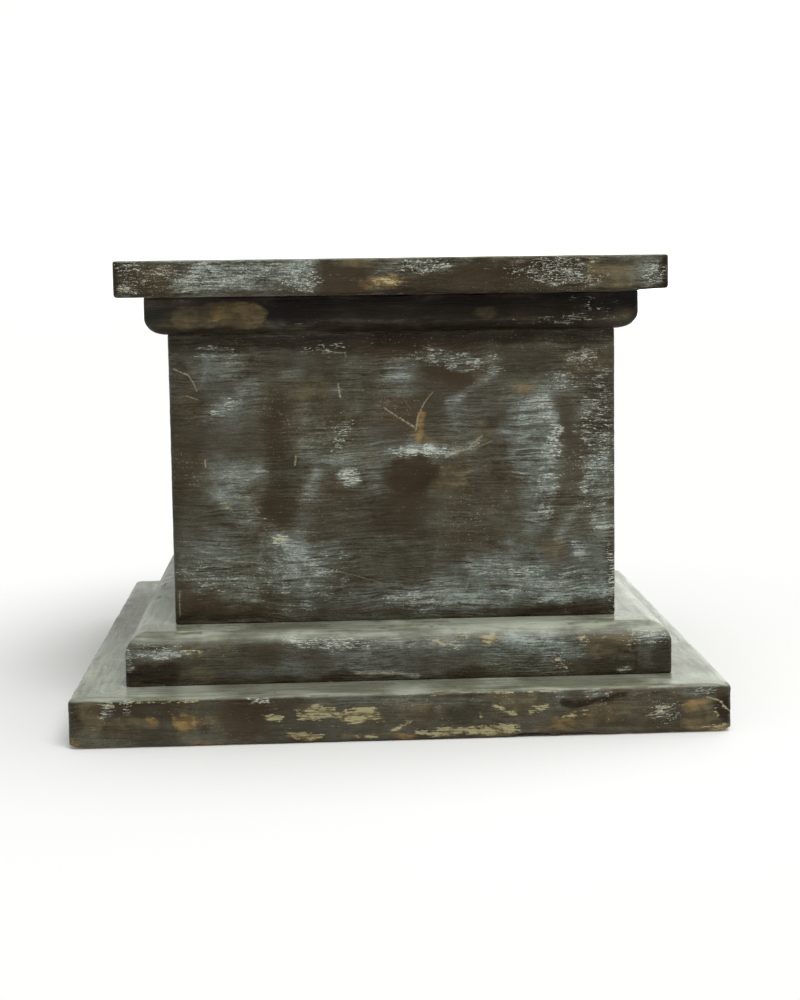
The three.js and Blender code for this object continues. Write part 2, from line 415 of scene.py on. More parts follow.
        ("dark", 0.5, [(130, 683), (400, 678), (560, 674), (668, 670)], 3.5, 0.8),
        ("pale", 0.45, [(190, 631), (300, 629), (420, 627)], 4, 0.9),
        ("cream", 0.5, [(178, 651), (206, 652)], 2.2, 0.6),
        ("tan", 0.4, 200, 650, 30, 8, 0, 0.8),
        ("mauve", 0.5, 395, 650, 90, 12, 0, 0.8),
        ("teal", 0.45, 430, 655, 130, 18, 0, 0.8),
        ("pale", 0.25, [(330, 648), (420, 647), (500, 645)], 6, 0.9),
        ("pale", 0.4, 395, 640, 90, 7, 0, 0.9),
        ("white", 0.45, 320, 643, 40, 6, 6, 0.8),
    ],
    "plinth_board": [
        # left
        ("umber", 0.6, 150, 712, 90, 10, 0, 0.7),
        ("green", 0.5, 300, 722, 60, 18, 0, 0.7),
        ("pale", 0.3, [(380, 704), (470, 700), (560, 697)], 5, 0.9),
        ("mauve", 0.4, 560, 726, 60, 10, 0, 0.8),
        ("tan", 0.35, 630, 712, 60, 12, -6, 0.8),
        ("cream", 0.6, [(416, 733), (440, 734), (474, 733)], 3, 0.6),
        ("tan", 0.6, 85, 712, 14, 10, 30, 0.7),
        ("cream", 0.5, 104, 708, 6, 7, 0, 0.6),
        ("white", 1.0, 103, 711, 7, 10, 0, 0.6),
        ("rust", 0.7, 110, 708, 7, 7, 0, 0.6),
        ("white", 0.9, 125, 709, 6, 7, 0, 0.6),
        ("tan", 0.5, 108, 730, 26, 10, 0, 0.7),
        ("tan", 0.6, 143, 724, 20, 5, 8, 0.6),
        ("gold", 0.4, 152, 721, 9, 3, 20, 0.6),
        ("dark", 0.4, 72, 725, 8, 18, 0, 0.6),
        ("green", 0.75, 154, 739, 18, 8, 0, 0.6),
        ("gold", 0.5, 75, 743, 6, 5, 20, 0.7),
        ("gold", 0.5, 100, 748, 22, 2.4, 0, 0.7),
        ("gold", 0.8, 188, 724, 13, 9, -8, 0.5),
        ("gold", 0.5, 187, 722, 8, 6, -8, 0.7),
        ("cream", 0.25, 187, 720, 8, 4, -8, 0.7),
        ("umber", 0.9, 205, 726, 6, 7, 0, 0.5),
        ("tan", 0.5, 208, 722, 16, 8, 0, 0.7),
        ("gold", 0.5, 206, 744, 20, 3.2, 0, 0.6),
        ("tan", 0.45, 188, 736, 16, 6, 0, 0.7),
        ("dark", 0.35, [(130, 704), (250, 700)], 3, 0.7),
        # left of the middle
        ("white", 0.95, [(248, 699), (266, 701)], 2.4, 0.7),
        ("rust", 1.0, 242, 720, 24, 18, 0, 0.3),
        ("dark", 0.35, 250, 712, 16, 10, 0, 0.7),
        ("cream", 0.95, 274, 717, 8.5, 4.4, 10, 0.35),
        ("umber", 0.4, 280, 705, 20, 6, 0, 0.7),
        ("cream", 0.9, 322, 711, 20, 5.5, 2, 0.45),
        ("tan", 0.8, 320, 706, 22, 5, -4, 0.5),
        ("cream", 0.75, 310, 716, 11, 3.4, 0, 0.4),
        ("mauve", 0.8, 322, 727, 22, 9, 0, 0.6),
        ("cream", 0.9, 304, 737, 14, 3.4, 0, 0.35),
        ("gold", 0.6, 304, 738, 15, 4, 0, 0.4),
        ("cream", 0.75, 364, 717, 20, 7.5, 3, 0.3),
        ("tan", 0.95, 366, 717, 24, 9.5, 3, 0.35),
        ("umber", 0.6, [(352, 722), (362, 719), (372, 722)], 1.2, 0.6),
        ("teal", 0.6, 360, 702, 24, 5, 0, 0.7),
        ("cream", 0.6, 371, 736, 10, 3.5, 0, 0.5),
        ("tan", 0.6, [(345, 737), (372, 735), (392, 731), (410, 722)], 3, 0.6),
        ("cream", 0.45, [(392, 731), (410, 722)], 1.6, 0.6),
        ("gold", 0.45, 402, 737, 12, 3.5, 0, 0.6),
        ("green", 0.6, 270, 730, 16, 9, 0, 0.7),
        # middle
        ("rust", 0.5, 428, 734, 14, 6, 0, 0.6),
        ("tan", 0.6, 420, 710, 24, 10, 0, 0.7),
        ("mauve", 0.5, 425, 714, 26, 8, 0, 0.7),
        ("green", 0.85, 460, 713, 26, 11, 0, 0.45),
        ("dark", 0.3, 458, 714, 22, 8, 0, 0.6),
        ("cream", 0.55, 481, 717, 2.2, 3.4, 0, 0.5),
        ("cream", 0.95, 498, 731, 20, 5.2, 0, 0.3),
        ("gold", 0.5, 498, 733, 20, 5, 0, 0.4),
        ("cream", 0.7, [(440, 729), (458, 731), (478, 729)], 2.0, 0.5),
        ("cream", 0.7, 448, 735, 12, 3, 0, 0.45),
        ("tan", 0.7, 512, 699, 26, 8, 0, 0.5),
        ("cream", 0.5, [(494, 708), (508, 713), (530, 711), (545, 706)], 2.6, 0.6),
        ("tan", 0.6, 525, 706, 22, 6, -10, 0.6),
        ("mauve", 0.5, 530, 722, 14, 8, 0, 0.6),
        ("dark", 0.95, [(562, 702), (590, 701), (622, 696)], 3.4, 0.5),
        ("pale", 0.7, 597, 692, 12, 4, 0, 0.6),
        ("white", 0.4, 596, 691, 14, 4, 0, 0.7),
        ("gold", 0.28, 585, 710, 34, 6, -4, 0.7),
        ("tan", 0.95, 580, 716, 38, 10, -6, 0.45),
        ("cream", 0.4, 572, 712, 18, 4, -10, 0.6),
        ("gold", 0.4, [(536, 731), (552, 725), (572, 722)], 4, 0.7),
        ("umber", 0.6, 612, 722, 20, 5, 0, 0.6),
        # right
        ("green", 0.55, 652, 712, 26, 14, 0, 0.7),
        ("cream", 0.35, [(648, 716), (660, 710), (672, 706)], 1.4, 0.7),
        ("white", 0.6, 662, 710, 16, 9, 0, 0.8),
        ("gold", 0.4, 699, 703, 16, 4, -10, 0.7),
        ("tan", 0.85, 700, 716, 17, 14, 0, 0.45),
        ("gold", 0.2, 698, 715, 15, 13, 0, 0.3),
        ("umber", 0.4, 700, 720, 14, 6, 10, 0.7),
        ("cream", 0.5, [(716, 704), (717, 716)], 1.2, 0.5),
        ("dark", 0.95, 725, 708, 8, 16, 0, 0.3),
        ("rust", 0.7, 722, 690, 9, 5, 0, 0.6),
        ("white", 0.7, 706, 690, 12, 4, 0, 0.7),
        ("pale", 0.5, 690, 691, 10, 4, 0, 0.7),
        ("cream", 0.75, [(707, 697), (718, 700), (731, 711)], 1.1, 0.5),
        ("gold", 0.6, 717, 729, 15, 4, -6, 0.6),
        ("cream", 0.6, 714, 727, 10, 3, -6, 0.5),
        ("cream", 0.5, 637, 735, 8, 2, 0, 0.5),
        # pale specks along the top arris: partly paint flecks, partly a painted highlight on the arris
        ("cream", 0.45, [(128, 705), (200, 702)], 1.2, 0.8),
        ("cream", 0.45, [(400, 694), (520, 692), (560, 690)], 1.3, 0.8),
    ],
}


def spots_and_strokes(name, p):
    """Each layer's amount, 0 to 1, at points p of the front, from MARKS."""
    u, v = picture(p)
    far = layered(p * [0.045, 0.045, 0.055], 2, 3), layered(p * [0.045, 0.045, 0.06], 2, 4)
    near = layered(p * [0.15, 0.15, 0.19], 3, 5), layered(p * [0.13, 0.13, 0.24], 3, 6)
    out = {k: np.zeros(len(p)) for k in LAYERS}
    for mark in MARKS[name]:
        if len(mark) == 8:
            layer, amount, mu, mv, ru, rv, tilt, soft = mark
            size = min(ru, rv)
            wu = u + far[0] * (0.10 * ru + 0.18 * size + 2.0) + near[0] * (0.36 * size + 1.4)
            wv = v + far[1] * (0.10 * rv + 0.16 * size + 1.2) + near[1] * (0.34 * size + 0.9)
            c, s = math.cos(math.radians(tilt)), math.sin(math.radians(tilt))
            a, b = (wu - mu) * c + (wv - mv) * s, -(wu - mu) * s + (wv - mv) * c
            r = np.hypot(a / ru, b / rv)
        else:
            layer, amount, line, half, soft = mark
            wu = u + far[0] * 2.4 + near[0] * (0.6 * min(half, 4) + 0.6)
            wv = v + far[1] * 2.0 + near[1] * (0.7 * min(half, 4) + 0.4)
            r = np.full(len(p), 1e9)
            for (u0, v0), (u1, v1) in zip(line, line[1:]):
                du, dv = u1 - u0, v1 - v0
                t = np.clip(((wu - u0) * du + (wv - v0) * dv) / (du * du + dv * dv), 0, 1)
                r = np.minimum(r, np.hypot(wu - u0 - t * du, wv - v0 - t * dv))
            r = r / half
        if layer == "cream":
            soft = min(soft + 0.3, 0.95)
        shape = 1 - ramp(r, 1 - soft, 1 + soft)
        out[layer] = 1 - (1 - out[layer]) * (1 - amount * shape)
    return out


def wild(p, seed):
    """The same layers for faces that have no marks of their own: soft patches along the board."""
    q = p * [0.9, 0.9, 1.5] + seed * 31.7
    out = {k: np.zeros(len(p)) for k in LAYERS}
    cloud = layered(q * 0.018, 3, seed)
    out["umber"] = 0.85 * ramp(cloud, 0.05, 0.5)
    out["pale"] = 0.8 * ramp(layered(q * 0.022, 4, seed + 40), 0.12, 0.62)
    out["teal"] = 0.6 * ramp(layered(q * 0.016, 3, seed + 80), 0.1, 0.6)
    out["mauve"] = 0.5 * ramp(layered(q * 0.02, 3, seed + 120), 0.15, 0.6)
    out["tan"] = 0.7 * ramp(layered(q * 0.026, 4, seed + 160), 0.34, 0.72)
    out["dark"] = 0.6 * ramp(layered(q * 0.03, 3, seed + 200), 0.35, 0.8)
    out["rust"] = 0.6 * ramp(layered(q * 0.028, 3, seed + 240), 0.35, 0.75)
    out["green"] = 0.5 * ramp(layered(q * 0.02, 3, seed + 280), 0.25, 0.7)
    out["white"] = 0.35 * ramp(layered(q * 0.03, 4, seed + 320), 0.2, 0.8)
    return out


# ------------------------------------------------------------------ the boards


def profile(thick, bottom, top, under, over, dz, flat_step=2.5):
    """Points (inset, height, outward, upward) up the side of a board of that thickness.
    bottom and top are each edge's (across, down, steps); the flats run in as far as under and over."""
    points = []

    def flat(a, b, z, up):
        n = max(1, int(round(abs(b - a) / flat_step)))
        for i in range(n):
            points.append((a + (b - a) * i / n, z, 0.0, up))

    across, down, steps = bottom
    flat(under, across, 0.0, -1.0)
    for i in range(steps + 1):
        t = math.pi / 2 * i / steps
        n = np.array([math.sin(t) / across, -math.cos(t) / down])
        n /= np.hypot(*n)
        points.append((across - across * math.sin(t), down - down * math.cos(t), n[0], n[1]))
    lo, hi = down, thick - top[1]
    n = max(1, int(round((hi - lo) / dz)))
    for i in range(1, n):
        points.append((0.0, lo + (hi - lo) * i / n, 1.0, 0.0))
    across, down, steps = top
    for i in range(steps + 1):
        t = math.pi / 2 * i / steps
        n = np.array([math.cos(t) / across, math.sin(t) / down])
        n /= np.hypot(*n)
        points.append((across - across * math.cos(t), thick - down + down * math.sin(t), n[0], n[1]))
    n = max(1, int(round((over - across) / flat_step)))
    for i in range(1, n + 1):
        points.append((across + (over - across) * i / n, thick, 0.0, 1.0))
    return np.array(points)


ALONG = np.array([[1, 0], [0, 1], [-1, 0], [0, -1]], float)  # front, right, back, left
OUT = np.array([[0, -1], [1, 0], [0, 1], [-1, 0]], float)


class Board:
    """A square board's surface as rings of points, from under it, up its side, to its top."""

    def __init__(self, name, width, x, z, prof, radii, columns, arcs=4, filled_top=False):
        self.name, self.width, self.x, self.z = name, width, x, z
        self.thick = prof[:, 1].max()
        side, kind, value = [], [], []
        for k in range(4):
            for j in range(arcs):
                side.append(k), kind.append(0), value.append(math.pi / 4 * (1 - j / arcs))
            for j in range(columns[k] + 1):
                side.append(k), kind.append(1), value.append(j / columns[k])
            for j in range(1, arcs):
                side.append(k), kind.append(2), value.append(math.pi / 4 * j / arcs)
        side, kind, value = np.array(side), np.array(kind), np.array(value)
        radii = np.array(radii, float)
        r0, r1 = radii[side], radii[(side + 1) % 4]
        half = (width / 2 - prof[:, 0])[:, None]
        run = -(half - r0) + value * (2 * half - r0 - r1)
        s = np.where(kind == 0, -(half - r0) - r0 * np.sin(value), np.where(kind == 2, half - r1 + r1 * np.sin(value), run))
        o = np.where(kind == 0, half - r0 + r0 * np.cos(value), np.where(kind == 2, half - r1 + r1 * np.cos(value), half + 0 * value))
        ns = np.where(kind == 0, -np.sin(value), np.where(kind == 2, np.sin(value), 0.0))
        no = np.where(kind == 1, 1.0, np.cos(value))
        xy = ALONG[side] * s[..., None] + OUT[side] * o[..., None]
        nxy = ALONG[side] * ns[:, None] + OUT[side] * no[:, None]
        rings, cols = len(prof), len(side)
        self.rings, self.cols = rings, cols
        p = np.empty((rings, cols, 3))
        p[..., :2] = xy
        p[..., 2] = prof[:, 1][:, None]
        n = np.empty((rings, cols, 3))
        n[..., :2] = nxy[None] * prof[:, 2][:, None, None]
        n[..., 2] = prof[:, 3][:, None]
        corner = half + 0 * value - np.abs(s)  # from the upright arris, along the face
        ids = np.arange(rings * cols).reshape(rings, cols)
        quads = np.stack([ids[:-1], np.roll(ids, -1, 1)[:-1], np.roll(ids, -1, 1)[1:], ids[1:]], -1).reshape(-1, 4)
        # Coordinates along the surface, for the unfolded map
        step = np.hypot(np.diff(prof[:, 0]), np.diff(prof[:, 1]))
        girth = np.concatenate([[0], np.cumsum(step)])
        self.p, self.n = p.reshape(-1, 3), n.reshape(-1, 3)
        self.side = np.broadcast_to(side, (rings, cols)).reshape(-1)
        self.corner = corner.reshape(-1)
        self.inset = np.repeat(prof[:, 0], cols)
        self.faces = [quads]
        self.polys = [list(ids[0][::-1])]
        self.girth, self.prof, self.columns, self.arcs = girth, prof, columns, arcs
        if filled_top:
            m = 2 * arcs + columns[0]
            ring = self.p[ids[-1]]
            grid_ids = np.full((m + 1, m + 1), -1)
            grid_ids[0, :] = ids[-1][: m + 1]
            grid_ids[:, m] = ids[-1][m : 2 * m + 1]
            grid_ids[m, ::-1] = ids[-1][2 * m : 3 * m + 1]
            grid_ids[::-1, 0] = ids[-1][np.r_[3 * m : 4 * m, 0]]
            t = np.linspace(0, 1, m + 1)
            front, back = self.p[grid_ids[0]], self.p[grid_ids[m]]
            left, right = self.p[grid_ids[:, 0]], self.p[grid_ids[:, m]]
            a, b = t[:, None, None], t[None, :, None]
            g = (1 - a) * front[None] + a * back[None] + (1 - b) * left[:, None] + b * right[:, None]
            g -= (1 - a) * (1 - b) * front[0] + (1 - a) * b * front[m] + a * (1 - b) * back[0] + a * b * back[m]
            inner = np.arange((m - 1) * (m - 1)).reshape(m - 1, m - 1) + len(self.p)
            grid_ids[1:m, 1:m] = inner
            extra = g[1:m, 1:m].reshape(-1, 3)
            self.p = np.vstack([self.p, extra])
            self.n = np.vstack([self.n, np.tile([0.0, 0.0, 1.0], (len(extra), 1))])
            self.side = np.r_[self.side, np.full(len(extra), 4)]
            reach = width / 2 - np.abs(extra[:, :2])
            self.corner = np.r_[self.corner, reach.min(1)]
            self.inset = np.r_[self.inset, reach.min(1)]
            self.faces.append(np.stack([grid_ids[:-1, :-1], grid_ids[:-1, 1:], grid_ids[1:, 1:], grid_ids[1:, :-1]], -1).reshape(-1, 4))
            self.has_grid = True
        else:
            self.polys.append(list(ids[-1]))
            self.has_grid = False
        self.p = self.p + [x, 0, z]


def unfold(board, co):
    """Flat coordinates for each face corner: the four sides as strips, the top and underside beside them."""
    w, g = board.width, board.girth[-1]
    top_side = w + 4
    total_w = 2 * w + 12
    strips = 2 * (g + 4)
    need_caps = top_side if board.has_grid else 40.0
    scale = 1.0 / max(total_w, strips + need_caps + 8)
    uv = []
    girth = np.repeat(board.girth, board.cols)
    local = co - [board.x, 0, board.z]
    m = 2 * board.arcs
    starts = np.cumsum([0] + [m + c for c in board.columns])
    for group in board.faces[:1]:
        rows, cols = board.rings - 1, board.cols
        face_col = np.tile(np.arange(cols), rows)
        face_side = np.searchsorted(starts, face_col, side="right") - 1
        for c in range(4):
            ids = group[:, c]
            a = ALONG[face_side]
            s = (local[ids, :2] * a).sum(1) + w / 2
            t = girth[ids]
            u = s + np.where(face_side % 2 == 0, 4, w + 8)
            v = t + np.where(face_side < 2, 4, g + 8)
            uv.append(np.stack([u, v], -1) * scale)
    quads_uv = [np.stack(uv, 1)]
    if board.has_grid:
        ids = board.faces[1]
        u = local[ids, 0] + w / 2 + 4
        v = local[ids, 1] + w / 2 + strips + 8
        quads_uv.append(np.stack([u, v], -1) * scale)
    loops = [q.reshape(-1, 2) for q in quads_uv]
    for i, poly in enumerate(board.polys):
        q = local[poly, :2] / w * 30 + 20
        loops.append((q + [total_w - 80 + i * 38, strips + 8]) * scale)
    return np.vstack(loops)


def relief(board, amounts):
    """How far each point is cut back along its normal: brush lines, thicker and thinner paint, and paint edges."""
    p, n = board.p, board.n
    upright = np.hypot(n[:, 0], n[:, 1])
    bend = 1.3 * noise(p * [0.022, 0.022, 0.03], 21) + 0.45 * noise(p * [0.09, 0.09, 0.16], 22)
    lift = p[:, 2] + bend
    lines = 0.6 * noise(np.stack([p[:, 0] * 0.05, p[:, 1] * 0.05, lift * 0.62], -1), 23)
    lines += 0.4 * noise(np.stack([p[:, 0] * 0.09, p[:, 1] * 0.09, lift * 1.05], -1), 24)
    across = p[:, 1] + bend
    top_lines = 0.6 * noise(np.stack([p[:, 0] * 0.04, across * 0.35, 0 * lift], -1), 25)
    ridge = upright * lines + (1 - upright) * top_lines
    rough = 0.55 + 0.45 * noise(p * 0.03, 26)
    depth = 0.07 * rough * (1 - ridge) * upright + 0.04 * rough * (1 - ridge) * (1 - upright)
    depth += 0.06 * (1 + noise(p * 0.014, 27)) / 2
    # Thicker and thinner paint
    depth += 0.07 * (1 - ramp(layered(p * [0.05, 0.05, 0.12], 3, 28), -0.1, 0.15))
    depth += 0.10 * amounts["cream"] + 0.06 * amounts["gold"] - 0.05 * amounts["white"]
    return depth, ridge


def wear(board, soften):
    """How near each point is to an arris, 0 to 1, and how much of the arris is knocked off there."""
    z = board.p[:, 2] - board.z
    near_flat = np.minimum(np.abs(z - board.thick), np.abs(z))
    # Distance to the closest horizontal arris, over the top or down the side
    over = np.where(np.abs(board.n[:, 2]) > 0.99, board.inset, 0.0)
    level = np.where(np.abs(board.n[:, 2]) > 0.99, over, near_flat)
    upright = board.corner
    level_wear = np.exp(-((level / soften) ** 2))
    upright_wear = np.exp(-((upright / soften) ** 2)) * (np.abs(board.n[:, 2]) < 0.99)
    edge = np.maximum(level_wear, upright_wear)
    q = board.p
    nick = ramp(layered(q * 0.11, 3, 31), 0.25, 0.8) * 0.5 + ramp(layered(q * 0.045, 2, 32), 0.35, 0.85) * 0.35
    ripple = 0.10 * (1 + noise(q * 0.05, 33)) / 2 + 0.10 * (1 + noise(q * 0.16, 34)) / 2
    return edge, edge * (nick + ripple)


def build(board, covered, soften=2.2, special=None, seed=1, wild_share=0.25):
    """Finishes one board as a Blender mesh, with its paint layers as named numbers on the points."""
    p, n = board.p, board.n
    facing = np.clip(-n[:, 1] * 1.5, 0, 1) * (board.side != 4)
    marked = spots_and_strokes(board.name, p)
    loose = wild(p, seed)
    amounts = {}
    for k in LAYERS:
        rest = np.clip(1 - facing * (1 - wild_share), 0, 1)
        amounts[k] = 1 - (1 - facing * marked[k]) * (1 - rest * loose[k])
    depth, ridge = relief(board, amounts)
    edge, worn = wear(board, soften)
    depth = depth + worn
    if special is not None:
        depth = depth + special(board, p, n)
    # Nothing is cut back where another board lies on this one
    depth = depth * (1 - covered(board, p, n))
    co = p - n * depth[:, None]

    quads = np.vstack(board.faces)
    loops = [quads.reshape(-1)] + [np.array(q) for q in board.polys]
    starts = [np.arange(len(quads)) * 4]
    at = len(quads) * 4
    for q in board.polys:
        starts.append(np.array([at]))
        at += len(q)
    loops, starts = np.concatenate(loops).astype(np.int32), np.concatenate(starts).astype(np.int32)
    totals = np.diff(np.r_[starts, at]).astype(np.int32)
    mesh = bpy.data.meshes.new(board.name + "_painted")
    mesh.vertices.add(len(co))
    mesh.vertices.foreach_set("co", (co * M).astype(np.float32).reshape(-1))
    mesh.loops.add(at)
    mesh.loops.foreach_set("vertex_index", loops)
    mesh.polygons.add(len(starts))
    mesh.polygons.foreach_set("loop_start", starts)
    mesh.polygons.foreach_set("loop_total", totals)
    mesh.update(calc_edges=True)
    mesh.validate()
    mesh.shade_smooth()
    uv = unfold(board, p)
    layer = mesh.uv_layers.new(name="OFBake")
    layer.data.foreach_set("uv", uv.astype(np.float32).reshape(-1))
    values = dict(amounts)
    values["ridge"] = ridge * 0.5 + 0.5
    values["edge"] = edge
    values["flat"] = np.clip(np.abs(n[:, 2]), 0, 1) ** 2
    values["level"] = np.clip(n[:, 2], 0, 1) ** 1.6
    values["chip"] = ramp(worn, 0.18, 0.55)
    # How far up the side and in over the top each point is, in metres: brush lines follow it
    girth = np.repeat(board.girth, board.cols)
    if board.has_grid:
        girth = np.r_[girth, board.girth[-1] + board.p[len(girth):, 1] + board.width / 2]
    values["girth"] = girth * M
    for k, a in values.items():
        mesh.attributes.new(k, "FLOAT", "POINT").data.foreach_set("value", a.astype(np.float32))
    piece = bpy.data.objects.new(board.name + "_painted", mesh)
    scene.collection.objects.link(piece)
    return piece


# --------------------------------------------------------------- the materials


def paint(r, g, b):
    """A colour picker's 0 to 255 values as the renderer's linear ones."""
    def one(c):
        c /= 255.0
        return c / 12.92 if c <= 0.04045 else ((c + 0.055) / 1.055) ** 2.4
    return (one(r), one(g), one(b), 1.0)


class Graph:
    """Short names for making shader nodes."""

    def __init__(self, name):
        self.material = bpy.data.materials.new(name)
        self.material.use_nodes = True
        self.tree = self.material.node_tree
        self.tree.nodes.clear()

    def put(self, socket, value):
        if isinstance(value, bpy.types.NodeSocket):
            self.tree.links.new(value, socket)
        else:
            socket.default_value = value

    def math(self, op, a, b=0.0, clamp=False):
        n = self.tree.nodes.new("ShaderNodeMath")
        n.operation, n.use_clamp = op, clamp
        self.put(n.inputs[0], a)
        self.put(n.inputs[1], b)
        return n.outputs[0]

    def add(self, *values):
        total = values[0]
        for v in values[1:]:
            total = self.math("ADD", total, v)
        return total

    def times(self, a, b):
        return self.math("MULTIPLY", a, b)

    def around(self, value, amount):
        """A 0 to 1 value as a swing of that size about zero."""
        return self.math("MULTIPLY", self.math("SUBTRACT", value, 0.5), amount)

    def vec(self, op, a, b=(0.0, 0.0, 0.0)):
        n = self.tree.nodes.new("ShaderNodeVectorMath")
        n.operation = op
        self.put(n.inputs[0], a)
        if op == "SCALE":
            self.put(n.inputs["Scale"], b)
        else:
            self.put(n.inputs[1], b)
        return n.outputs["Value"] if op in ("DOT_PRODUCT", "LENGTH", "DISTANCE") else n.outputs["Vector"]

    def step(self, value, lo, hi, to_lo=0.0, to_hi=1.0):
        n = self.tree.nodes.new("ShaderNodeMapRange")
        n.interpolation_type = "SMOOTHSTEP"
        for i, v in enumerate((value, lo, hi, to_lo, to_hi)):
            self.put(n.inputs[i], v)
        return n.outputs[0]

    def noise(self, vector, scale=1.0, detail=2.0, rough=0.5, warp=0.0):
        n = self.tree.nodes.new("ShaderNodeTexNoise")
        self.put(n.inputs["Vector"], vector)
        n.inputs["Scale"].default_value = scale
        n.inputs["Detail"].default_value = detail
        n.inputs["Roughness"].default_value = rough
        n.inputs["Distortion"].default_value = warp
        return n.outputs[0]

    def attribute(self, name):
        n = self.tree.nodes.new("ShaderNodeAttribute")
        n.attribute_type = "GEOMETRY"
        n.attribute_name = name
        return n.outputs["Fac"]

    def mix(self, amount, a, b):
        n = self.tree.nodes.new("ShaderNodeMix")
        n.data_type = "RGBA"
        self.put(n.inputs[0], amount)
        self.put(n.inputs[6], a)
        self.put(n.inputs[7], b)
        return n.outputs[2]

    def blend(self, amount, a, b):
        n = self.tree.nodes.new("ShaderNodeMix")
        n.data_type = "FLOAT"
        self.put(n.inputs[0], amount)
        self.put(n.inputs[2], a)
        self.put(n.inputs[3], b)
        return n.outputs[0]


COLOURS = {
    "umber": paint(54, 44, 28),
    "rust": paint(60, 44, 27),
    "mauve": paint(76, 71, 64),
    "green": paint(52, 53, 40),
    "tan": paint(110, 98, 70),
    "gold": paint(150, 122, 72),
    "cream": paint(168, 160, 122),
    "white": paint(192, 196, 184),
    "bare": paint(92, 70, 44),
}
# The paint from its deepest brown, through olive grey, to the chalky blue grey rubbed over it
SHADES_OF_PAINT = (
    (0.00, paint(14, 10, 6)),
    (0.18, paint(37, 30, 20)),
    (0.36, paint(59, 53, 41)),
    (0.52, paint(78, 76, 64)),
    (0.68, paint(98, 101, 92)),
    (0.84, paint(120, 123, 113)),
    (1.00, paint(154, 158, 148)),
)


